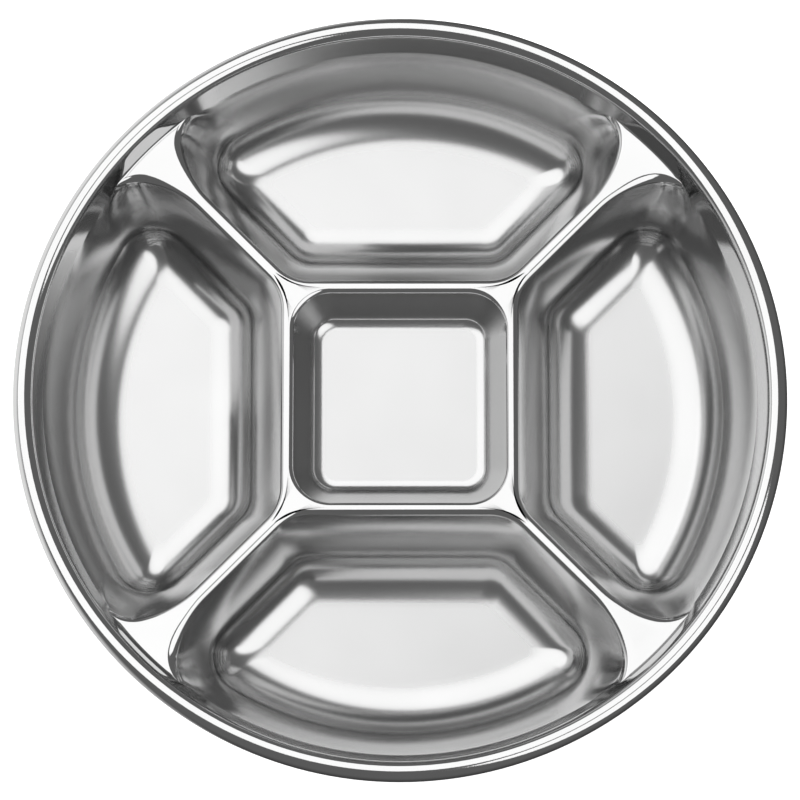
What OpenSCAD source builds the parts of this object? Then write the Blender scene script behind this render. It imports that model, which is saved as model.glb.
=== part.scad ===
// Divided compartment plate: one disc of stainless sheet, drawn into five wells and curled at its edge.
// The sheet is what lies between two rooms of the same form: the room above the plate, and that room
// grown by the sheet's thickness.

/* [Plate] */
// Diameter over the rolled rim
plate_d = 260; // [256:1:270]
// Height from the table to the top of the rim
plate_h = 47.2; // [46:0.1:48.5]
// Thickness of the sheet
sheet = 0.7; // [0.5:0.05:0.9]

/* [Rim] */
// Outside diameter of the roll
roll_d = 7; // [6.4:0.1:7.6]
// Angle that the sheet turns through in the roll
roll_turn = 297; // [250:1:305]

/* [Outer wall] */
// Lean of the outer wall from upright, above the wells
wall_lean = 17.5; // [16:0.5:19]
// Radius from the outer wall into the floor
wall_foot_r = 16; // [13:0.5:18]

/* [Dividers] */
// Depth of the divider tops below the top of the rim
deck_drop = 10; // [9:0.1:11]
// Width of a diagonal divider, measured where its walls would meet its top
divider_w = 4.2; // [3.8:0.1:5.5]
// Lean of the wells' walls from upright
divider_lean = 24; // [22:0.5:25.5]
// Radius from a divider wall into the floor
divider_foot_r = 16; // [13:0.5:17]
// Bend radius along the top edges of the dividers
lip_r = 1.4; // [1.1:0.1:1.6]

/* [Fan wells] */
// Distance from the plate's axis to the inner wall of a fan well
fan_inner = 39.8; // [39.4:0.1:43]
// Corner radius between the inner wall and a divider
fan_inner_corner_r = 16; // [13:0.5:20]
// Radius with which a divider widens towards the outer wall
fan_outer_corner_r = 36; // [34:0.5:38]
// Distance from the plate's axis at which a divider starts to widen
flare_start = 94; // [92:0.5:97]

/* [Centre well] */
// Width of the square centre well
centre_w = 72.8; // [68:0.1:73.4]
// Corner radius of the centre well
centre_corner_r = 13; // [12:0.5:16]
// Depth of the centre well
centre_depth = 15.5; // [14:0.5:17]
// Lean of the centre well's walls from upright
centre_lean = 25.5; // [24:0.5:27]
// Radius from the centre well's walls into its floor
centre_foot_r = 3.6; // [2.6:0.1:4.6]

/* [Hidden] */
$fn = 96;

// Flat facets along the bends
lip_steps = 4;
foot_steps = 8;
roll_steps = 28;
// A corner's cone is drawn this much wide, so that it crosses its two walls and never just touches them
corner_share = 1.006;
// A fan well's inner corner narrows this much slower than its walls close in, so it fades into their sharp
// corner before it comes to a point
inner_corner_share = 0.97;
// Bends that meet in a corner get a share of the radius and a number of extra facets of their own, so that
// their facet lines never meet in one point
divider_bend = [1, 0];
inner_bend = [0.98, 1];
corner_bend = [0.96, 2];
outer_bend = [0.97, 3];

fan_count = 4;
fan_turn = 360 / fan_count;
divider_turn = fan_turn / 2;
square_sides = 4;
square_turn = 360 / square_sides;
// The widening reaches the outer wall well before it has turned this far
flare_turn = 70;

floor_z = sheet;
deck_z = plate_h - deck_drop;
centre_floor_z = deck_z - centre_depth;
reach = plate_d;

roll_r = roll_d / 2;
roll_center = [plate_d / 2 - roll_r, plate_h - roll_r];
roll_from = 180 - wall_lean;
roll_start = roll_center + roll_r * [cos(roll_from), sin(roll_from)];
join_z = (deck_z + roll_start.y) / 2;
// Just below the divider tops the outer wall takes on the lean of the wells' other walls
turn_z = deck_z - 2 * lip_r;

inner_corner_x = fan_inner + fan_inner_corner_r;
inner_corner_across = divider_w / 2 + fan_inner_corner_r;
inner_corner_y = (inner_corner_x * cos(divider_turn) - inner_corner_across) / sin(divider_turn);
outer_corner_across = divider_w / 2 + fan_outer_corner_r;
centre_corner = centre_w / 2 - centre_corner_r;

function arc(center, r, from, to, steps) =
    [for (i = [0:steps]) let (a = from + (to - from) * i / steps) center + r * [cos(a), sin(a)]];

// Radius of the outer wall's face at a height; "grown" is how far the face lies behind the upper one
function wall_x(z, grown) =
    roll_start.x + (z - roll_start.y) * tan(wall_lean) + grown / cos(wall_lean);

// The same for the stretch of it that leans as the wells do
function well_wall_x(z, grown) =
    wall_x(turn_z, 0) + (z - turn_z) * tan(divider_lean) + grown / cos(divider_lean);

// Height at which the two stretches of a face meet
function turn_height(grown) =
    turn_z - grown * (1 / cos(divider_lean) - 1 / cos(wall_lean)) / (tan(divider_lean) - tan(wall_lean));

// Runs the first and the last facet of a bent line on past its ends, so that flat faces cut it cleanly
function run_on(points) =
    let (last = len(points) - 1)
    concat(
        [2 * points[0] - points[1]],
        [for (i = [1:last - 1]) points[i]],
        [2 * points[last] - points[last - 1]]
    );

// A well's side in section, from the divider top over the lip, down the wall and into the floor:
// x is measured into the well from where the wall would meet the divider top, y from the divider top
function side_line(depth, lean, full_foot_r, grown, bend) =
    let (
        half_bend = (90 - lean) / 2,
        top_r = bend[0] * lip_r,
        foot_r = bend[0] * full_foot_r,
        top = [-top_r * tan(half_bend), -top_r],
        foot = [depth * tan(lean) + foot_r * tan(half_bend), foot_r - depth]
    )
    run_on(concat(
        arc(top, top_r - grown, 90, lean, lip_steps + bend[1]),
        arc(foot, foot_r + grown, 180 + lean, 270, foot_steps + bend[1])
    ));

function fan_side(grown, bend) = side_line(deck_z - floor_z, divider_lean, divider_foot_r, grown, bend);
function centre_side(grown, bend) = side_line(centre_depth, centre_lean, centre_foot_r, grown, bend);

// The section of the open space on the well's side of that line
function beside(line) =
    concat(line, [[reach, line[len(line) - 1].y], [reach, plate_h], [line[0].x, plate_h]]);

// The open space on the well's side of a straight wall
module beside_wall(distance, line) {
    translate([distance, 0, deck_z])
        rotate([90, 0, 0])
        linear_extrude(2 * reach, center = true)
        polygon(beside(line));
}

// What is left standing outside a rounded corner, in the sector from 0 to "turn"
module corner_stand(radius, turn, line, narrowing_share = corner_share) {
    turned = [for (p = beside(line)) [corner_share * radius - narrowing_share * p.x, p.y]];
    translate([0, 0, deck_z])
        difference() {
            rotate_extrude(angle = turn)
                translate([0, -plate_h])
                square([2 * radius, 2 * plate_h]);
            rotate_extrude()
                intersection() {
                    polygon(turned);
                    translate([0, -2 * plate_h])
                        square([reach, 4 * plate_h]);
                }
        }
}

// One fan well, open outwards: the outer wall closes it
module fan_room(grown) {
    line = fan_side(grown, divider_bend);
    corner_line = fan_side(grown, corner_bend);
    difference() {
        intersection() {
            beside_wall(fan_inner, fan_side(grown, inner_bend));
            rotate(divider_turn)
                beside_wall(divider_w / 2, line);
            rotate(-divider_turn)
                beside_wall(divider_w / 2, line);
        }
        for (side = [0, 1])
            mirror([0, side, 0]) {
                translate([inner_corner_x, inner_corner_y, 0])
                    rotate(180 - divider_turn)
                    corner_stand(fan_inner_corner_r, divider_turn, corner_line, inner_corner_share);
                rotate(divider_turn)
                    translate([flare_start, -outer_corner_across, 0])
                    rotate(90 - flare_turn)
                    corner_stand(fan_outer_corner_r, flare_turn, corner_line);
            }
    }
}

// The square centre well
module centre_room(grown) {
    line = centre_side(grown, divider_bend);
    difference() {
        intersection() {
            translate([0, 0, centre_floor_z - grown])
                cylinder(r = centre_w, h = plate_h);
            intersection_for (i = [0:square_sides - 1])
                rotate(i * square_turn)
                    beside_wall(-centre_w / 2, line);
        }
        for (i = [0:square_sides - 1])
            rotate(i * square_turn)
                translate([centre_corner, centre_corner, 0])
                corner_stand(centre_corner_r, square_turn, centre_side(grown, corner_bend));
    }
}

// The whole bowl inside the outer wall, from the floor up to "top"
module bowl_room(grown, top) {
    foot_r = outer_bend[0] * wall_foot_r;
    foot_z = floor_z + foot_r;
    foot = [well_wall_x(foot_z, 0) - foot_r / cos(divider_lean), foot_z];
    turn = turn_height(grown);
    rotate_extrude()
        polygon(concat(
            [[0, floor_z - grown]],
            arc(foot, foot_r + grown, 270, 360 - divider_lean, foot_steps + outer_bend[1]),
            [[wall_x(turn, grown), turn], [wall_x(join_z, grown), join_z], [wall_x(top, grown), top], [0, top]]
        ));
}

// The bowl less the dividers that stand in it
module plate_room(grown, top) {
    difference() {
        bowl_room(grown, top);
        difference() {
            translate([0, 0, -plate_h])
                cylinder(r = plate_d, h = plate_h + deck_z - grown);
            for (i = [0:fan_count - 1])
                rotate(i * fan_turn)
                    fan_room(grown);
            centre_room(grown);
        }
    }
}

// The top of the outer wall and the edge rolled over it
module rolled_rim() {
    roll_to = roll_from - roll_turn;
    rotate_extrude()
        polygon(concat(
            [[wall_x(join_z, 0), join_z]],
            arc(roll_center, roll_r, roll_from, roll_to, roll_steps),
            arc(roll_center, roll_r - sheet, roll_to, roll_from, roll_steps),
            [[wall_x(join_z, sheet), join_z]]
        ));
}

module pressed_plate() {
    color("Gainsboro") {
        difference() {
            plate_room(sheet, join_z);
            plate_room(0, plate_h);
        }
        rolled_rim();
    }
}

pressed_plate();
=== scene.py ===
"""Divided compartment plate, dressed: one stainless disc, drawn into five wells and curled at its edge.

Lengths are millimetres in the sheet's own frame, and become metres when a mesh is laid.
"""

from __future__ import annotations

import logging
import math
from dataclasses import dataclass, field
from enum import Enum
from typing import Any, Iterable, Sequence

import bpy
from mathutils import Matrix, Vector

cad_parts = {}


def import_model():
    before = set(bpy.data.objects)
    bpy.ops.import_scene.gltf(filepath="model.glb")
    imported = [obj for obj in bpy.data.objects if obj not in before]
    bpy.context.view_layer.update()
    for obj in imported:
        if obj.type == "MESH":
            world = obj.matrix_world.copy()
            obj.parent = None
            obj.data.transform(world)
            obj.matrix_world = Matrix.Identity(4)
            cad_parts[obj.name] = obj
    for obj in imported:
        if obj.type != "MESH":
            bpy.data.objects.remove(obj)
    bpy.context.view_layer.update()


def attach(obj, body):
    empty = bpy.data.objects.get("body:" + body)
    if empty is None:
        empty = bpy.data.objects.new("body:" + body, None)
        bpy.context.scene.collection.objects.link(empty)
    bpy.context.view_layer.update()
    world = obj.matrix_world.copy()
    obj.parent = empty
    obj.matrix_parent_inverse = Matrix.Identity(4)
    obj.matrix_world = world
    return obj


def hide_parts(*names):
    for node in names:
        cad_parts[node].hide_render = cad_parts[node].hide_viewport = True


LOG = logging.getLogger("plate")
MM = 0.001
NODE = "pressed_plate"
BODY = "root"
DRAW_MAP = "draw_lines"
POLISH = "polish"
PUCKER = "pucker"
QUARTERS = 4
SLANT = math.sqrt(0.5)

Flat = tuple[float, float]
Place = tuple[float, float, float]


class Stretch(Enum):
    """The stretches of a fan well's half outline, from the inner wall's middle to the outer wall's middle."""

    INNER = "inner wall"
    CORNER = "inner corner"
    DIVIDER = "divider with its flare"
    VALLEY = "outer corner"
    OUTER = "outer wall"


class Card(Enum):
    """The lamps of the studio."""

    KEY = "wide oval softbox in the north-west"
    FILL = "small oval softbox in the south-east"


@dataclass(frozen=True)
class Spot:
    """One point of the sheet's upper face.

    Attributes:
        place: where it is, in mm.
        along: how far along its well's outline, in mm.
        down: how far down its well's side, in mm.
        polish: 0 where the sheet is satin, 1 where it is bright.
        pucker: 0 where the sheet is smooth, 1 where it was pushed together into wrinkles.
    """

    place: Place
    along: float
    down: float
    polish: float
    pucker: float = 0.0


@dataclass(frozen=True)
class Station:
    """One step down a well's side.

    Attributes:
        inset: distance into the well from where its wall would meet the divider top, in mm.
        height: height above the table, in mm.
        polish: 0 where the sheet is satin, 1 where it is bright.
    """

    inset: float
    height: float
    polish: float


def mixed(a: float, b: float, share: float) -> float:
    """The value a share of the way from a to b."""
    return a + (b - a) * share


def eased(share: float) -> float:
    """A share from 0 to 1 that starts and ends gently."""
    held = min(max(share, 0.0), 1.0)
    return held * held * (3.0 - 2.0 * held)


def swelling(most: float, share: float) -> float:
    """How far a line bows out a share of the way along it: not at all at its ends, most half way."""
    return 4 * most * share * (1 - share)


def steps(count: int, first: int = 0) -> list[float]:
    """Shares from 0 to 1 in equal steps, from the step named first."""
    return [i / count for i in range(first, count + 1)]


def on_arc(centre: Flat, radius: float, degrees: float) -> Flat:
    """The point of an arc at an angle."""
    turn = math.radians(degrees)
    return centre[0] + radius * math.cos(turn), centre[1] + radius * math.sin(turn)


def turned(place: Place, quarter: int) -> Place:
    """A place turned about the plate's axis by whole quarters."""
    x, y, z = place
    for _ in range(quarter):
        x, y = -y, x
    return x, y, z


def straight(a: Flat, b: Flat, trims: Flat, count: int) -> list[Flat]:
    """Points along a straight line.

    Args:
        a: where the line starts.
        b: where it ends.
        trims: how far from the two ends the first and the last point stay.
        count: how many steps.

    Returns:
        The points.
    """
    whole = math.dist(a, b)
    first, last = trims[0] / whole, 1 - trims[1] / whole
    shares = [mixed(first, last, s) for s in steps(count)]
    return [(mixed(a[0], b[0], s), mixed(a[1], b[1], s)) for s in shares]


def lengths_along(places: Sequence[Place]) -> list[float]:
    """How far along a line each of its points lies.

    Args:
        places: the line's points, in order.

    Returns:
        One length for each point, 0 for the first.
    """
    run = [0.0]
    for a, b in zip(places, places[1:]):
        run.append(run[-1] + math.dist(a, b))
    return run


def linear(hex_colour: str) -> tuple[float, float, float, float]:
    """Turns an sRGB hex colour into linear light.

    Args:
        hex_colour: six hex digits after a hash sign.

    Returns:
        Red, green, blue and full opacity.
    """
    parts = [int(hex_colour[i : i + 2], 16) / 255 for i in (1, 3, 5)]
    r, g, b = (c / 12.92 if c <= 0.04045 else ((c + 0.055) / 1.055) ** 2.4 for c in parts)
    return r, g, b, 1.0


def add_node(tree: bpy.types.NodeTree, kind: str, inputs: dict[Any, Any], **settings: Any) -> bpy.types.Node:
    """Adds a node with its settings and links.

    Args:
        tree: the material's tree.
        kind: the node's type.
        inputs: for each input, a value or the socket that feeds it.
        settings: the node's own settings.

    Returns:
        The new node.
    """
    node = tree.nodes.new(kind)
    for name, value in settings.items():
        setattr(node, name, value)
    for name, value in inputs.items():
        if isinstance(value, bpy.types.NodeSocket):
            tree.links.new(value, node.inputs[name])
        else:
            node.inputs[name].default_value = value
    return node


def lay(mesh: bpy.types.Mesh, spots: Sequence[Spot]) -> None:
    """Lays a mesh's vertices on their spots and notes the lines, the polish and the wrinkles there.

    Args:
        mesh: the mesh, with one vertex for each spot, in order.
        spots: where the vertices go.
    """
    for vertex, spot in zip(mesh.vertices, spots, strict=True):
        vertex.co = Vector(spot.place) * MM
    lines = mesh.uv_layers.new(name=DRAW_MAP)
    for loop, mark in zip(mesh.loops, lines.data):
        spot = spots[loop.vertex_index]
        mark.uv = spot.along * MM, spot.down * MM
    notes = {POLISH: [spot.polish for spot in spots], PUCKER: [spot.pucker for spot in spots]}
    for name, values in notes.items():
        mesh.attributes.new(name, "FLOAT", "POINT").data.foreach_set("value", values)


def draw_rings(name: str, rings: Sequence[Sequence[Spot]], floor: bool) -> bpy.types.Object:
    """Draws a stretch of sheet out of one outline, ring after ring.

    Args:
        name: the new object's name.
        rings: the outlines, each with the same number of spots.
        floor: whether the last outline is closed by a floor.

    Returns:
        The new object.
    """
    bpy.ops.object.select_all(action="DESELECT")
    bpy.ops.mesh.primitive_circle_add(vertices=len(rings[0]), radius=1.0)
    piece = bpy.context.object
    piece.name = name
    bpy.ops.object.mode_set(mode="EDIT")
    bpy.ops.mesh.select_all(action="SELECT")
    for _ in rings[1:]:
        bpy.ops.mesh.extrude_region_move(TRANSFORM_OT_translate={"value": (0.0, 0.0, -0.1)})
    if floor:
        bpy.ops.mesh.edge_face_add()
    bpy.ops.object.mode_set(mode="OBJECT")
    lay(piece.data, [spot for ring in rings for spot in ring])
    return piece


@dataclass(frozen=True)
class DrawnSide:
    """A well's side in section: over the lip, down the wall and round the foot into the floor.

    Attributes:
        depth: from the divider top to the floor, in mm.
        lean: the wall's lean from upright, in degrees.
        lip_radius: bend radius along the top edge, in mm.
        foot_radius: radius into the floor, in mm.
        foot_slope: slope at which the foot leaves the wall, in degrees; less than the wall's makes a crease.
        bulge: how far the wall swells into the well half way down, in mm: it is steepest at its foot.
        ring_bow: how far the wall bows out at the ring that the first draw left on it, in mm.
        ring_share: how far down the wall that ring is.
        fold: half the width over which the sheet folds at the ring and at the crease, in mm.
        wall_polish: polish at the top of the wall, which fades over a third of it, and on the rest of it.
        lip_steps: steps over the lip.
        wall_steps: steps down the wall, above the ring and again below it.
        foot_steps: steps round the foot.
    """

    depth: float
    lean: float
    lip_radius: float
    foot_radius: float
    foot_slope: float
    bulge: float = 0.0
    ring_bow: float = 0.0
    ring_share: float = 0.65
    fold: float = 0.4
    wall_polish: Flat = (0.6, 0.35)
    lip_steps: int = 8
    wall_steps: int = 6
    foot_steps: int = 16

    def wall(self, start: Flat, end: Flat) -> list[Flat]:
        """The wall in section.

        Args:
            start: where it leaves the lip.
            end: where the foot starts.

        Returns:
            The wall's points, without its start.
        """
        ring_x = mixed(start[0], end[0], self.ring_share) - self.ring_bow
        ring = (ring_x, mixed(start[1], end[1], self.ring_share))
        line = straight(start, ring, (0.0, self.fold), self.wall_steps)[1:]
        line += straight(ring, end, (self.fold, self.fold), self.wall_steps)
        shares = [(z - start[1]) / (end[1] - start[1]) for _, z in line]
        return [(x + swelling(self.bulge, s), z) for (x, z), s in zip(line, shares)]

    @property
    def foot_rise(self) -> float:
        """Height of the crease between the foot and the wall, above the floor."""
        return self.foot_radius * (1 - math.cos(math.radians(self.foot_slope)))

    def stations(self, top: float, softer: float = 1.0) -> list[Station]:
        """The steps down the side.

        Args:
            top: height of the divider top.
            softer: how many times wider than usual the lip is bent.

        Returns:
            The stations from the divider top to the floor.
        """
        half_bend = math.radians(90 - self.lean) / 2
        lip_radius = self.lip_radius * softer
        lip = (-lip_radius * math.tan(half_bend), top - lip_radius)
        found = []
        for share in steps(self.lip_steps):
            x, z = on_arc(lip, lip_radius, mixed(90, self.lean, share))
            found.append(Station(x, z, 1.0))
        slope = math.radians(self.foot_slope)
        wall_depth = self.depth - self.foot_rise
        wall_end = (wall_depth * math.tan(math.radians(self.lean)), top - wall_depth)
        start = (found[-1].inset, found[-1].height)
        for x, z in self.wall(start, wall_end):
            share = (start[1] - z) / (start[1] - wall_end[1])
            found.append(Station(x, z, mixed(*self.wall_polish, eased(3 * share))))
        foot = (wall_end[0] + self.foot_radius * math.sin(slope), top - self.depth + self.foot_radius)
        folded = math.degrees(self.fold / self.foot_radius)
        for share in steps(self.foot_steps):
            x, z = on_arc(foot, self.foot_radius, mixed(270 - self.foot_slope + folded, 270, share))
            found.append(Station(x, z, mixed(self.wall_polish[1], 0.0, eased(5 * share - 4))))
        return found


@dataclass(frozen=True)
class BowlWall:
    """The outer wall and the edge rolled over it.

    Attributes:
        rim_radius: outside radius of the rim, in mm.
        height: height of the rim's top, in mm.
        roll_radius: outside radius of the roll, in mm.
        roll_turn: angle that the sheet turns through in the roll, in degrees.
        lean: the wall's lean from upright, in degrees.
        wall_steps: steps up the wall.
        roll_steps: steps round the roll.
    """

    rim_radius: float = 130.0
    height: float = 47.2
    roll_radius: float = 3.5
    roll_turn: float = 297.0
    lean: float = 14.0
    wall_steps: int = 5
    roll_steps: int = 30

    @property
    def roll_centre(self) -> Flat:
        """Radius and height of the roll's middle."""
        return self.rim_radius - self.roll_radius, self.height - self.roll_radius

    @property
    def roll_start(self) -> Flat:
        """Radius and height at which the wall runs into the roll."""
        return on_arc(self.roll_centre, self.roll_radius, 180 - self.lean)

    def slope_radius(self, height: float) -> float:
        """Radius of the straight wall at a height."""
        x, z = self.roll_start
        return x + (height - z) * math.tan(math.radians(self.lean))

    def section(self, bottom: float) -> list[Flat]:
        """The wall and the roll in section.

        Args:
            bottom: height at which the section starts.

        Returns:
            Radius and height of each step, upwards and round the roll.
        """
        top = self.roll_start[1]
        line = []
        for share in steps(self.wall_steps):
            z = mixed(bottom, top, share)
            line.append((self.slope_radius(z), z))
        start = 180 - self.lean
        for share in steps(self.roll_steps, 1):
            line.append(on_arc(self.roll_centre, self.roll_radius, start - self.roll_turn * share))
        return line


@dataclass(frozen=True)
class FanWell:
    """One fan-shaped well, drawn on the east side; the others are turned copies.

    Attributes:
        wall: the bowl's outer wall.
        side: the well's side in section.
        deck: height of the divider tops, in mm.
        inner: distance from the plate's axis to the inner wall, in mm.
        half_divider: half the width of a divider, in mm.
        divider_steepness: how much less than the inner wall a divider's side goes inwards for each mm down.
        inner_corner: corner radius between the inner wall and a divider, in mm.
        corner_closing: how much smaller that radius gets for each mm into the well.
        flare_start: distance along a divider at which it starts to widen, in mm.
        flare_radius: radius with which it widens, in mm.
        tip_softness: how many times wider than usual the lip is bent at the widened end.
        tip_reach: length over which the lip gets wider, in mm.
        wall_turn: height at which the rim's wall starts, in mm.
        outer_foot: radius of the outer wall's foot, in mm.
        outer_bulge: how far the outer wall swells into the well, in mm.
        floor_edge: radius of the floor's outer edge, in mm.
        valley_at_deck: radius of the outer corner at the divider tops, in mm.
        valley_radius: its radius where it is widest, in mm.
        valley_opens: depth by which it has opened, in mm.
        valley_closes: depth at which it starts to close, in mm.
        valley_at_floor: its radius at the floor, in mm.
        pucker_at: middle of the wrinkles.
        pucker_reach: how far the wrinkles reach, in mm.
        floor_shrink: size of the ring inside the floor, as a share of the floor's edge.
        counts: steps along each stretch of the outline.
    """

    wall: BowlWall
    side: DrawnSide
    deck: float = 37.2
    inner: float = 39.8
    half_divider: float = 2.1
    divider_steepness: float = 0.07
    inner_corner: float = 16.0
    corner_closing: float = 0.35
    flare_start: float = 94.0
    flare_radius: float = 36.0
    tip_softness: float = 1.8
    tip_reach: float = 14.0
    wall_turn: float = 33.0
    outer_foot: float = 19.0
    outer_bulge: float = 0.5
    floor_edge: float = 94.6
    valley_at_deck: float = 12.0
    valley_radius: float = 16.0
    valley_opens: float = 12.0
    valley_closes: float = 14.0
    valley_at_floor: float = 2.4
    pucker_at: Place = (85.3, 61.4, 9.0)
    pucker_reach: float = 7.0
    floor_shrink: float = 0.9
    counts: dict[Stretch, int] = field(
        default_factory=lambda: {
            Stretch.INNER: 8,
            Stretch.CORNER: 10,
            Stretch.DIVIDER: 30,
            Stretch.VALLEY: 14,
            Stretch.OUTER: 22,
        }
    )

    @property
    def flare_across(self) -> float:
        """Distance of the flare's centre from the divider's middle line."""
        return self.half_divider + self.flare_radius

    def beside_divider(self, along: float, across: float) -> Flat:
        """A place given along the divider and across it into the well."""
        return SLANT * (along + across), SLANT * (along - across)

    def divider_inset(self, station: Station) -> float:
        """Distance of a divider's side from where it would meet the top: it is steeper than the well's."""
        return station.inset - self.divider_steepness * (self.deck - station.height)

    def valley(self, height: float) -> float:
        """Radius of the outer corner at a height: widest half way down, tight at the floor."""
        drop = self.deck - height
        opened = mixed(self.valley_at_deck, self.valley_radius, eased(drop / self.valley_opens))
        closing = max(drop - self.valley_closes, 0.0) / (self.side.depth - self.valley_closes)
        return mixed(opened, self.valley_at_floor, closing**2)

    def outer_radius(self, height: float) -> float:
        """Radius of the outer wall: a wide foot, a gently bowed stretch from its crease, then the rim's wall.

        Args:
            height: height above the table.

        Returns:
            The radius of the upper face.
        """
        if height >= self.wall_turn:
            return self.wall.slope_radius(height)
        rise = height - self.deck + self.side.depth
        crease = self.side.foot_rise
        fall = self.outer_foot - min(max(rise, 0.0), crease)
        foot = self.floor_edge + math.sqrt(self.outer_foot**2 - fall**2)
        share = max(rise - crease, 0.0) / (self.wall_turn - self.deck + self.side.depth - crease)
        unbowed = mixed(foot, self.wall.slope_radius(self.wall_turn), share)
        return unbowed - swelling(self.outer_bulge, share)

    def pucker(self, place: Place) -> float:
        """How much the sheet is wrinkled at a place: most where the foot's crease turns the outer corner."""
        x, y, z = place
        return eased(1 - math.dist((x, abs(y), z), self.pucker_at) / self.pucker_reach)

    def flare_end(self, inset: float, wall_radius: float, valley: float) -> tuple[float, float]:
        """Where the divider's side runs into the outer corner.

        Args:
            inset: distance into the well.
            wall_radius: radius of the outer wall there.
            valley: radius of the outer corner.

        Returns:
            How far along the divider its straight part ends, and the angle that the flare then turns by.
        """
        across = self.half_divider + inset + valley
        reach = wall_radius - valley
        straight = math.sqrt(reach**2 - across**2)
        if straight <= self.flare_start:
            return straight, 0.0
        radius = self.flare_radius - inset - valley
        far = math.hypot(self.flare_start, self.flare_across)
        lift = (reach**2 - far**2 - radius**2) / (2 * radius * far)
        return self.flare_start, math.atan2(self.flare_across, self.flare_start) + math.asin(lift)

    def beside_run(self, start: float, end: float, run: float, inset: float) -> Flat:
        """A point of the divider's side.

        Args:
            start: where the side starts along the divider.
            end: where its straight part ends.
            run: how far the point is from the start, measured along the divider and the flare's full radius.
            inset: distance into the well.

        Returns:
            The point.
        """
        if run <= end - start:
            return self.beside_divider(start + run, self.half_divider + inset)
        angle = (run - end + start) / self.flare_radius
        radius = self.flare_radius - inset
        along = end + radius * math.sin(angle)
        return self.beside_divider(along, self.flare_across - radius * math.cos(angle))

    def half_outline(self, step: int) -> dict[Stretch, list[Place]]:
        """The well's outline at one step down its side, on one side of its middle line.

        Args:
            step: the step down the side, 0 at the divider top.

        Returns:
            The points of each stretch, ends included.
        """
        sharp = self.side.stations(self.deck)[step]
        soft = self.side.stations(self.deck, self.tip_softness)[step]
        sharp_inset, soft_inset = self.divider_inset(sharp), self.divider_inset(soft)
        count = self.counts
        line_x = self.inner + sharp.inset
        corner = self.inner_corner - self.corner_closing * sharp.inset
        corner_x = line_x + corner
        corner_y = corner_x - (self.half_divider + sharp_inset + corner) / SLANT
        wall_radius = self.outer_radius(soft.height)
        valley = self.valley(soft.height)
        end, turn = self.flare_end(soft_inset, wall_radius, valley)
        start = SLANT * (corner_x + corner_y)
        whole = end - start + self.flare_radius * turn
        divider = []
        for share in steps(count[Stretch.DIVIDER]):
            run = whole * share
            softness = eased(1 - (whole - run) / self.tip_reach)
            x, y = self.beside_run(start, end, run, mixed(sharp_inset, soft_inset, softness))
            divider.append((x, y, mixed(sharp.height, soft.height, softness)))
        heading = 135 - math.degrees(turn)
        pivot = on_arc(divider[-1][:2], -valley, heading)
        bearing = math.degrees(math.atan2(pivot[1], pivot[0]))
        middle = (corner_x, corner_y)
        return {
            Stretch.INNER: [(line_x, corner_y * s, sharp.height) for s in steps(count[Stretch.INNER])],
            Stretch.CORNER: [
                (*on_arc(middle, corner, 180 - 45 * s), sharp.height) for s in steps(count[Stretch.CORNER])
            ],
            Stretch.DIVIDER: divider,
            Stretch.VALLEY: [
                (*on_arc(pivot, valley, mixed(heading, bearing, s)), soft.height)
                for s in steps(count[Stretch.VALLEY])
            ],
            Stretch.OUTER: [
                (*on_arc((0, 0), wall_radius, bearing * (1 - s)), soft.height)
                for s in steps(count[Stretch.OUTER])
            ],
        }

    def outline(self, step: int) -> list[Place]:
        """The well's whole outline at one step down its side, round from the outer wall's middle."""
        half: list[Place] = []
        for points in self.half_outline(step).values():
            half += points if not half else points[1:]
        other = [(x, -y, z) for x, y, z in half[1:-1]]
        return half[::-1] + other

    def rings(self) -> list[list[Spot]]:
        """The outlines from the divider top down to the floor, and one inside the floor.

        Returns:
            A list of spots for each ring.
        """
        stations = self.side.stations(self.deck)
        outlines = [self.outline(step) for step in range(len(stations))]
        along = lengths_along(outlines[len(outlines) // 2])
        down = lengths_along([(s.inset, s.height, 0.0) for s in stations])
        found = []
        for station, points, run in zip(stations, outlines, down):
            ring = [
                Spot(place, u, run, station.polish, self.pucker(place)) for place, u in zip(points, along)
            ]
            found.append(ring)
        found.append(self.floor_ring(found[-1]))
        return found

    def floor_ring(self, edge: Sequence[Spot]) -> list[Spot]:
        """A ring inside the floor's edge, so that the floor's rim of faces lies flat."""
        mid_x = sum(spot.place[0] for spot in edge) / len(edge)
        found = []
        for spot in edge:
            x, y, z = spot.place
            place = (mixed(mid_x, x, self.floor_shrink), y * self.floor_shrink, z)
            found.append(Spot(place, spot.along, spot.down + math.dist(place, spot.place), spot.polish))
        return found

    def build(self) -> bpy.types.Object:
        """Draws the well."""
        return draw_rings("fan_well", self.rings(), floor=True)


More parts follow.
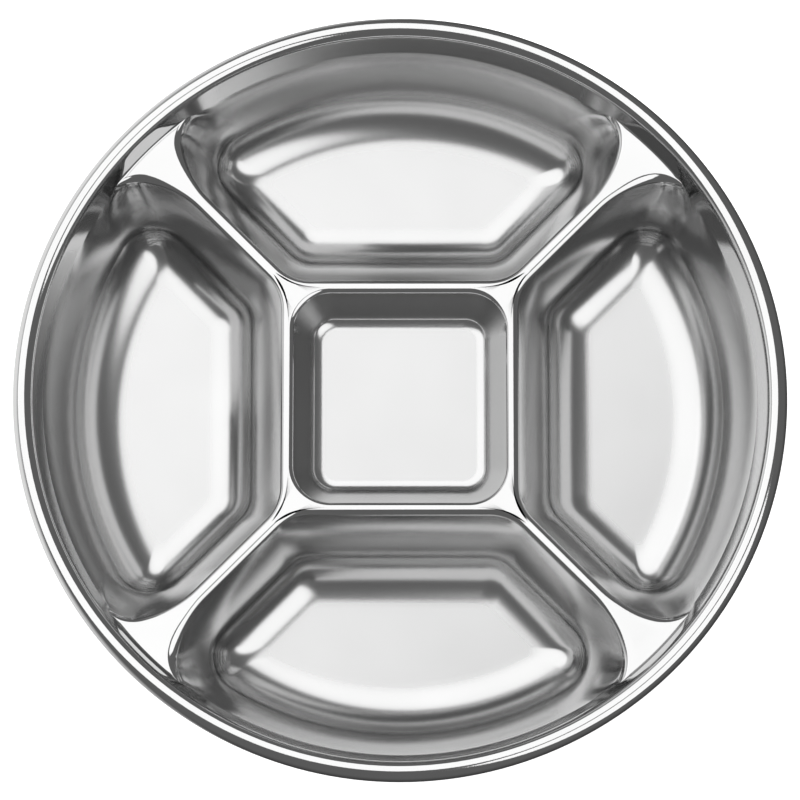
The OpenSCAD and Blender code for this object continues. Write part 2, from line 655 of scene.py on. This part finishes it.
@dataclass(frozen=True)
class DividerTop:
    """The top of the north-east divider with its corner triangle; the others are turned copies.

    Attributes:
        well: the fan well beside it.
        across_steps: steps across the divider.
    """

    well: FanWell
    across_steps: int = 12

    def row_ends(self) -> list[Place]:
        """Where each row across the divider starts, on the east well's lip."""
        return self.well.half_outline(0)[Stretch.DIVIDER]

    def row(self, start: Place, bowed: float) -> list[Place]:
        """One row across the divider.

        Args:
            start: its first point, on the east well's lip.
            bowed: 0 for a straight row, 1 for one that follows the outer wall.

        Returns:
            The row's points.
        """
        x, y, _ = start
        radius = math.hypot(x, y)
        bearing = math.degrees(math.atan2(y, x))
        found = []
        for share in steps(self.across_steps):
            arc_x, arc_y = on_arc((0, 0), radius, mixed(bearing, 90 - bearing, share))
            flat_x, flat_y = mixed(x, y, share), mixed(y, x, share)
            found.append((mixed(flat_x, arc_x, bowed), mixed(flat_y, arc_y, bowed), self.well.deck))
        return found

    def rows(self) -> list[list[Place]]:
        """The rows from the square web out to where the triangle's sides turn along the outer wall."""
        ends = self.row_ends()
        last = len(ends) - 1
        return [self.row(end, eased(2 * i / last - 1)) for i, end in enumerate(ends)]

    def build(self) -> bpy.types.Object:
        """Lays a grid on the divider's top.

        Returns:
            The new object.
        """
        rows = self.rows()
        bpy.ops.object.select_all(action="DESELECT")
        bpy.ops.mesh.primitive_grid_add(x_subdivisions=self.across_steps, y_subdivisions=len(rows) - 1)
        piece = bpy.context.object
        piece.name = "divider_top"
        mesh = piece.data
        for layer in list(mesh.uv_layers):
            mesh.uv_layers.remove(layer)
        lay(mesh, [Spot(place, place[0], place[1], 1.0) for row in rows for place in row])
        return piece


@dataclass(frozen=True)
class CentreWell:
    """The square web between the fan wells, and the square well drawn in its middle.

    Attributes:
        divider: the divider that the web runs into.
        side: the well's side in section.
        half_width: half the well's width, in mm.
        corner: corner radius of the well, in mm.
        corner_closing: how much smaller that radius gets for each mm into the well.
        floor_shrink: size of the ring inside the floor, as a share of the floor's edge.
    """

    divider: DividerTop
    side: DrawnSide
    half_width: float = 36.4
    corner: float = 13.0
    corner_closing: float = 0.8
    floor_shrink: float = 0.85

    def web_quarter(self) -> list[Place]:
        """The web's outer edge, from the east well's middle line to the north well's."""
        well = self.divider.well
        half = well.half_outline(0)
        east = half[Stretch.INNER] + half[Stretch.CORNER][1:]
        north = [(y, x, z) for x, y, z in reversed(east)]
        return east + self.divider.rows()[0][1:-1] + north

    def quarter(self, station: Station) -> list[Place]:
        """A quarter of the well's outline at a station, with as many points as the web's quarter.

        Args:
            station: the step down the well's side.

        Returns:
            The quarter's points, both ends included.
        """
        counts = self.divider.well.counts
        half = self.half_width - station.inset
        corner = self.corner - self.corner_closing * station.inset
        straight = half - corner
        side = [(half, straight * s, station.height) for s in steps(counts[Stretch.INNER])]
        found = list(side)
        for share in steps(2 * counts[Stretch.CORNER] + self.divider.across_steps, 1):
            x, y = on_arc((straight, straight), corner, 90 * share)
            found.append((x, y, station.height))
        return found + [(y, x, z) for x, y, z in reversed(side[:-1])]

    def whole(self, quarter: Sequence[Place]) -> list[Place]:
        """A quarter's points, repeated round the plate's axis."""
        return [turned(place, i) for i in range(QUARTERS) for place in quarter[:-1]]

    def rings(self) -> list[list[Spot]]:
        """The web's edge, then the outlines down to the floor.

        Returns:
            A list of spots for each ring.
        """
        stations = self.side.stations(self.divider.well.deck)
        web = self.whole(self.web_quarter())
        loops = [self.whole(self.quarter(station)) for station in stations]
        along = lengths_along(loops[0])
        down = lengths_along([(s.inset, s.height, 0.0) for s in stations])
        found = [[Spot(place, u, 0.0, 1.0) for place, u in zip(web, along)]]
        for station, loop, run in zip(stations, loops, down):
            found.append([Spot(place, u, run, station.polish) for place, u in zip(loop, along)])
        shrunk = [(x * self.floor_shrink, y * self.floor_shrink, z) for x, y, z in loops[-1]]
        found.append([Spot(place, u, down[-1], 0.0) for place, u in zip(shrunk, along)])
        return found

    def build(self) -> bpy.types.Object:
        """Draws the web and the well."""
        return draw_rings("centre_well", self.rings(), floor=True)


@dataclass(frozen=True)
class RolledRim:
    """The outer wall above the dividers, and the rolled edge.

    Attributes:
        divider: the divider whose triangle runs into the wall.
        crease_bend: size of the bend between a triangle and the wall, in mm.
        crease_steps: steps round that bend.
    """

    divider: DividerTop
    crease_bend: float = 0.9
    crease_steps: int = 3

    def deck_quarter(self) -> list[Place]:
        """The edge under the wall, from the east well's middle line to the north well's."""
        half = self.divider.well.half_outline(0)
        east = half[Stretch.OUTER][::-1] + half[Stretch.VALLEY][-2::-1]
        north = [(y, x, z) for x, y, z in reversed(east)]
        return east + self.divider.rows()[-1][1:-1] + north

    def crease(self, place: Place) -> list[Flat]:
        """The small bend from a triangle up into the wall, above one point of its edge.

        Args:
            place: the point of the edge; on the wall itself there is no triangle left, and no bend.

        Returns:
            Radius and height of the bend's steps.
        """
        wall, deck = self.divider.well.wall, self.divider.well.deck
        foot = wall.slope_radius(deck)
        bend = min(self.crease_bend, foot - math.hypot(place[0], place[1]))
        found = []
        for share in steps(self.crease_steps):
            back, lift = bend * (1 - share) ** 2, bend * share**2
            found.append((wall.slope_radius(deck + lift) - back, deck + lift))
        return found

    def rings(self) -> list[list[Spot]]:
        """The rings from the divider tops up the wall and round the roll.

        Returns:
            A list of spots for each ring.
        """
        wall, deck = self.divider.well.wall, self.divider.well.deck
        quarter = self.deck_quarter()
        edge = [turned(place, i) for i in range(QUARTERS) for place in quarter[:-1]]
        bearings = [math.degrees(math.atan2(y, x)) for x, y, _ in edge]
        bends = [self.crease(place) for place in edge]
        upper = wall.section(deck + self.crease_bend)[1:]
        sections = [[*bend, *upper] for bend in bends]
        found = [[Spot(place, 0.0, 0.0, 1.0) for place in edge]]
        for step in range(len(sections[0])):
            ring = []
            for bearing, section in zip(bearings, sections):
                radius, height = section[step]
                x, y = on_arc((0, 0), radius, bearing)
                ring.append(Spot((x, y, height), math.radians(bearing) * radius, -height, 1.0))
            found.append(ring)
        return found

    def build(self) -> bpy.types.Object:
        """Draws the wall and the roll."""
        return draw_rings("rolled_rim", self.rings(), floor=False)


@dataclass(frozen=True)
class StainlessSheet:
    """Austenitic stainless sheet, cold rolled, deep drawn and buffed along its edges.

    The eye gets a neutral grey mirror: bright and clear on the rim and the divider tops, where the buffing
    wheel went, and silky with a fine orange peel in the wells, where drawing roughened the grain.

    Attributes:
        name: the material's name.
        bright: colour of the steel where it mirrors most.
        dull: its colour where it mirrors least.
        satin_roughness: roughness of the wells' floors.
        polished_roughness: roughness where the wheel went.
        grain_mm: size of the orange peel; the real one is finer than a pixel, so it is drawn coarser.
        grain_depth_mm: its depth.
        mark_mm: length and width of a die mark.
        mark_depth_mm: its depth.
        mark_fade: the polish from which no die marks are left.
        wrinkle_mm: width of a wrinkle.
        wrinkle_depth_mm: its depth.
        wave_mm: size of the patches in which the colour changes.
    """

    name: str = "stainless_steel_deep_drawn"
    bright: str = "#CCCCCC"
    dull: str = "#C6C6C6"
    satin_roughness: float = 0.28
    polished_roughness: float = 0.07
    grain_mm: float = 0.9
    grain_depth_mm: float = 0.006
    mark_mm: Flat = (70.0, 1.6)
    mark_depth_mm: float = 0.012
    mark_fade: float = 0.7
    wrinkle_mm: float = 1.5
    wrinkle_depth_mm: float = 0.08
    wave_mm: float = 26.0

    def bumps(self, tree: bpy.types.NodeTree, place: Any, polish: Any) -> Any:
        """The sheet's small relief: orange peel, die marks along the wells' walls, wrinkles in their corners.

        Args:
            tree: the material's tree.
            place: the socket that gives the place on the sheet.
            polish: the socket that gives the polish.

        Returns:
            The socket of the roughened normal.
        """
        grain = add_node(
            tree,
            "ShaderNodeTexNoise",
            {"Vector": place, "Scale": 1 / (self.grain_mm * MM), "Detail": 3.0, "Roughness": 0.6},
        )
        peel = add_node(
            tree,
            "ShaderNodeBump",
            {"Height": grain.outputs["Fac"], "Strength": 1.0, "Distance": self.grain_depth_mm * MM},
        )
        lines = add_node(tree, "ShaderNodeUVMap", {}, uv_map=DRAW_MAP).outputs["UV"]
        per_mark = [1 / (length * MM) for length in (*self.mark_mm, 1.0)]
        drawn = add_node(tree, "ShaderNodeMapping", {"Vector": lines, "Scale": per_mark})
        marks = add_node(
            tree, "ShaderNodeTexNoise", {"Vector": drawn.outputs["Vector"], "Scale": 1.0, "Detail": 3.0}
        )
        marked = add_node(
            tree,
            "ShaderNodeMapRange",
            {"Value": polish, "From Max": self.mark_fade, "To Min": 1.0, "To Max": 0.0},
        )
        scored = add_node(
            tree,
            "ShaderNodeBump",
            {
                "Height": marks.outputs["Fac"],
                "Strength": marked.outputs["Result"],
                "Distance": self.mark_depth_mm * MM,
                "Normal": peel.outputs["Normal"],
            },
        )
        ripples = add_node(
            tree,
            "ShaderNodeTexWave",
            {
                "Vector": lines,
                "Scale": math.pi / (10 * self.wrinkle_mm * MM),
                "Distortion": 4.0,
                "Detail": 2.0,
            },
            bands_direction="Y",
        )
        puckered = add_node(tree, "ShaderNodeAttribute", {}, attribute_name=PUCKER)
        return add_node(
            tree,
            "ShaderNodeBump",
            {
                "Height": ripples.outputs["Fac"],
                "Strength": puckered.outputs["Fac"],
                "Distance": self.wrinkle_depth_mm * MM,
                "Normal": scored.outputs["Normal"],
            },
        ).outputs["Normal"]

    def material(self) -> bpy.types.Material:
        """Makes the finish.

        Returns:
            The new material.
        """
        made = bpy.data.materials.new(self.name)
        made.use_nodes = True
        tree = made.node_tree
        tree.nodes.clear()
        place = add_node(tree, "ShaderNodeTexCoord", {}).outputs["Object"]
        polish = add_node(tree, "ShaderNodeAttribute", {}, attribute_name=POLISH).outputs["Fac"]
        wave = add_node(
            tree, "ShaderNodeTexNoise", {"Vector": place, "Scale": 1 / (self.wave_mm * MM), "Detail": 1.0}
        )
        rough = add_node(
            tree,
            "ShaderNodeMapRange",
            {"Value": polish, "To Min": self.satin_roughness, "To Max": self.polished_roughness},
        )
        tint = add_node(
            tree,
            "ShaderNodeMix",
            {"Factor": wave.outputs["Fac"], "A": linear(self.dull), "B": linear(self.bright)},
            data_type="RGBA",
        )
        steel = add_node(
            tree,
            "ShaderNodeBsdfPrincipled",
            {
                "Base Color": tint.outputs["Result"],
                "Metallic": 1.0,
                "Roughness": rough.outputs["Result"],
                "Normal": self.bumps(tree, place, polish),
            },
        )
        add_node(tree, "ShaderNodeOutputMaterial", {"Surface": steel.outputs["BSDF"]})
        return made


@dataclass(frozen=True)
class PlateSheet:
    """The whole plate: its stretches of sheet joined, welded and given their thickness.

    Attributes:
        rim: the outer wall and the rolled edge.
        centre: the web and the centre well.
        finish: the steel.
        thickness: thickness of the sheet, in mm.
        weld_gap: points nearer than this are one, in mm.
        crease_angle: sharper bends than this stay sharp, in degrees.
    """

    rim: RolledRim
    centre: CentreWell
    finish: StainlessSheet
    thickness: float = 0.7
    weld_gap: float = 0.005
    crease_angle: float = 38.0

    def stretches(self) -> list[bpy.types.Object]:
        """Draws all the stretches of the sheet.

        Returns:
            The objects, still apart.
        """
        divider = self.centre.divider
        found = [self.rim.build(), self.centre.build()]
        for part in (divider.well.build(), divider.build()):
            found.append(part)
            found += [self.turned_copy(part, i) for i in range(1, QUARTERS)]
        return found

    def turned_copy(self, part: bpy.types.Object, quarter: int) -> bpy.types.Object:
        """Copies a stretch and turns the copy about the plate's axis.

        Args:
            part: the stretch that was modelled.
            quarter: how many quarters to turn.

        Returns:
            The copy, with its own mesh.
        """
        bpy.ops.object.select_all(action="DESELECT")
        part.select_set(True)
        bpy.context.view_layer.objects.active = part
        bpy.ops.object.duplicate()
        copy = bpy.context.object
        copy.rotation_euler.z = math.radians(90 * quarter)
        bpy.ops.object.transform_apply(location=False, rotation=True, scale=False)
        return copy

    def join(self, parts: Sequence[bpy.types.Object]) -> bpy.types.Object:
        """Joins the stretches and welds them where they meet.

        Args:
            parts: the stretches.

        Returns:
            One sheet without thickness, its upper face turned up.
        """
        bpy.ops.object.select_all(action="DESELECT")
        for part in parts:
            part.select_set(True)
        bpy.context.view_layer.objects.active = parts[0]
        bpy.ops.object.join()
        sheet = bpy.context.object
        sheet.name = "plate_sheet"
        bpy.ops.object.mode_set(mode="EDIT")
        bpy.ops.mesh.select_all(action="SELECT")
        bpy.ops.mesh.remove_doubles(threshold=self.weld_gap * MM)
        bpy.ops.mesh.normals_make_consistent(inside=False)
        bpy.ops.object.mode_set(mode="OBJECT")
        widest = max(sheet.data.polygons, key=lambda face: face.area)
        if widest.normal.z < 0:
            bpy.ops.object.mode_set(mode="EDIT")
            bpy.ops.mesh.select_all(action="SELECT")
            bpy.ops.mesh.flip_normals()
            bpy.ops.object.mode_set(mode="OBJECT")
        return sheet

    def thicken(self, sheet: bpy.types.Object) -> None:
        """Gives the sheet its thickness, away from its upper face."""
        wall = sheet.modifiers.new("thickness", "SOLIDIFY")
        wall.thickness = self.thickness * MM
        wall.offset = -1.0
        wall.use_even_offset = True
        bpy.ops.object.modifier_apply(modifier=wall.name)
        bpy.ops.object.shade_smooth_by_angle(angle=math.radians(self.crease_angle))
        even = sheet.modifiers.new("flat_tops", "WEIGHTED_NORMAL")
        even.keep_sharp = True
        bpy.ops.object.modifier_apply(modifier=even.name)

    def build(self) -> bpy.types.Object:
        """Makes the plate and hands it to the frame.

        Returns:
            The finished object.
        """
        sheet = self.join(self.stretches())
        self.thicken(sheet)
        sheet.data.materials.clear()
        sheet.data.materials.append(self.finish.material())
        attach(sheet, BODY)
        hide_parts(NODE)
        LOG.info("%s: %d faces", sheet.name, len(sheet.data.polygons))
        return sheet


@dataclass(frozen=True)
class SoftLamp:
    """A round or oval softbox that looks at the plate.

    Attributes:
        bearing: where it stands round the plate, in degrees from +X towards +Y.
        slant: how far its middle is from straight above the plate, in degrees.
        reach: half the angles that it fills sideways and upwards, seen from the plate, in degrees.
        glow: how bright its face looks, where 1 is white.
        distance: from the plate to its middle, in mm.
    """

    bearing: float
    slant: float
    reach: Flat
    glow: float
    distance: float = 2200.0

    def hang(self, name: str) -> bpy.types.Object:
        """Adds the lamp.

        Args:
            name: the lamp's name.

        Returns:
            The new light.
        """
        out, up = on_arc((0, 0), self.distance * MM, 90 - self.slant)
        x, y = on_arc((0, 0), out, self.bearing)
        place = Vector((x, y, up))
        bpy.ops.object.light_add(type="AREA", location=place)
        lamp = bpy.context.object
        lamp.name = name
        lamp.rotation_euler = (-place).to_track_quat("-Z", "Y").to_euler()
        light = lamp.data
        light.shape = "ELLIPSE"
        light.size, light.size_y = (2 * place.length * math.tan(math.radians(half)) for half in self.reach)
        area = math.pi / 4 * light.size * light.size_y
        light.energy = self.glow * math.pi * area
        return lamp


@dataclass(frozen=True)
class Studio:
    """A pale table, soft lamps and a camera above the plate, a little to the south of its axis.

    Attributes:
        tilt: the camera's tilt from straight down, in degrees.
        aim: the place that it looks at.
        distance: from that place to the camera, in mm.
        frame_px: width of the picture.
        focal_px: focal length of the lens, in the picture's pixels.
        sensor_mm: width of the camera's sensor.
        table_size: width of the table, in mm.
        table_colour: colour of its lacquer.
        table_roughness: how matt the lacquer is.
        table_glow: how much the table glows of itself, so that the plate throws only a faint shadow on it.
        room: the room's grey.
        underneath: its grey straight below.
        darkening: heights on a ball of radius 1 between which the room darkens downwards.
        bright_side: colour of the room's bright side.
        bright_bearing: where the bright side is, in degrees from +X towards +Y.
        bright_dip: how far its middle is below the horizon, in degrees.
        brightening: cosines of the angles from its middle between which the room brightens.
        lamps: the softboxes.
    """

    tilt: float = 9.75
    aim: Place = (0.0, -2.2, 44.0)
    distance: float = 1200.0
    frame_px: int = 800
    focal_px: float = 3576.0
    sensor_mm: float = 36.0
    table_size: float = 6000.0
    table_colour: str = "#F4F4F4"
    table_roughness: float = 0.9
    table_glow: float = 0.75
    room: str = "#767676"
    underneath: str = "#4A4A4A"
    darkening: Flat = (-0.9, 0.1)
    bright_side: str = "#FFFFFF"
    bright_bearing: float = 160.0
    bright_dip: float = 25.0
    brightening: Flat = (0.4, 0.8)
    lamps: dict[Card, SoftLamp] = field(
        default_factory=lambda: {
            Card.KEY: SoftLamp(bearing=133, slant=28, reach=(41, 30.8), glow=1.21),
            Card.FILL: SoftLamp(bearing=325, slant=36, reach=(20, 26), glow=1.2),
        }
    )

    def lay_table(self) -> None:
        """Lays the table under the plate."""
        bpy.ops.object.select_all(action="DESELECT")
        bpy.ops.mesh.primitive_plane_add(size=self.table_size * MM, location=(0, 0, 0))
        table = bpy.context.object
        table.name = "table"
        made = bpy.data.materials.new("white_lacquer_matt")
        made.use_nodes = True
        shader = made.node_tree.nodes["Principled BSDF"]
        shader.inputs["Base Color"].default_value = linear(self.table_colour)
        shader.inputs["Roughness"].default_value = self.table_roughness
        shader.inputs["Emission Color"].default_value = linear(self.table_colour)
        shader.inputs["Emission Strength"].default_value = self.table_glow
        table.data.materials.append(made)
        # In the photograph the rim mirrors a darker room on most sides, so the table stays out of the mirror
        table.visible_glossy = False

    def hang_lamps(self) -> None:
        """Hangs the lamps."""
        for card, lamp in self.lamps.items():
            lamp.hang(card.name.lower())

    def blend(self, tree: bpy.types.NodeTree, value: Any, span: Flat, colours: tuple[Any, Any]) -> Any:
        """Blends from one colour to another.

        Args:
            tree: the room's tree.
            value: the socket that decides.
            span: its values for the two colours.
            colours: each a colour or the socket that gives it.

        Returns:
            The socket of the blended colour.
        """
        low, high = span
        share = add_node(tree, "ShaderNodeMapRange", {"Value": value, "From Min": low, "From Max": high})
        inputs = {"Factor": share.outputs["Result"], "A": colours[0], "B": colours[1]}
        return add_node(tree, "ShaderNodeMix", inputs, data_type="RGBA").outputs["Result"]

    def paint_room(self) -> None:
        """Makes the room around the lamps: grey, darker downwards, and bright low down on one side."""
        world = bpy.data.worlds.new("studio")
        world.use_nodes = True
        tree = world.node_tree
        tree.nodes.clear()
        outwards = add_node(tree, "ShaderNodeTexCoord", {}).outputs["Generated"]
        height = add_node(tree, "ShaderNodeSeparateXYZ", {"Vector": outwards}).outputs["Z"]
        turn = (0.0, math.radians(self.bright_dip), math.radians(self.bright_bearing))
        turned = add_node(
            tree, "ShaderNodeMapping", {"Vector": outwards, "Rotation": turn}, vector_type="TEXTURE"
        )
        nearness = add_node(tree, "ShaderNodeSeparateXYZ", {"Vector": turned.outputs["Vector"]}).outputs["X"]
        shade = self.blend(tree, height, self.darkening, (linear(self.underneath), linear(self.room)))
        lit = self.blend(tree, nearness, self.brightening, (shade, linear(self.bright_side)))
        room = add_node(tree, "ShaderNodeBackground", {"Color": lit})
        add_node(tree, "ShaderNodeOutputWorld", {"Surface": room.outputs["Background"]})
        bpy.context.scene.world = world

    def place_camera(self) -> None:
        """Stands the camera where the photograph was taken from."""
        tilt = math.radians(self.tilt)
        back = Vector((0.0, -math.sin(tilt), math.cos(tilt))) * self.distance
        bpy.ops.object.camera_add(location=(Vector(self.aim) + back) * MM, rotation=(tilt, 0.0, 0.0))
        camera = bpy.context.object
        camera.data.sensor_width = self.sensor_mm
        camera.data.lens = self.focal_px * self.sensor_mm / self.frame_px
        bpy.context.scene.camera = camera

    def build(self) -> None:
        """Sets the studio up."""
        self.lay_table()
        self.hang_lamps()
        self.paint_room()
        self.place_camera()
        view = bpy.context.scene.view_settings
        view.view_transform = "Standard"
        view.look = "Medium High Contrast"
        LOG.info("studio: %d lamps", len(self.lamps))


def main() -> None:
    """Loads the frame, dresses the plate and sets up the studio."""
    logging.basicConfig(level=logging.INFO, format="%(message)s")
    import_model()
    wall = BowlWall()
    well_side = DrawnSide(
        depth=36.5, lean=24.0, lip_radius=2.6, foot_radius=16.0, foot_slope=70.0, bulge=1.6, ring_bow=0.15
    )
    centre_side = DrawnSide(
        depth=15.5, lean=25.5, lip_radius=2.0, foot_radius=5.2, foot_slope=44.0, wall_steps=3, foot_steps=8
    )
    divider = DividerTop(FanWell(wall, well_side))
    PlateSheet(RolledRim(divider), CentreWell(divider, centre_side), StainlessSheet()).build()
    Studio().build()


if __name__ == "__main__":
    main()
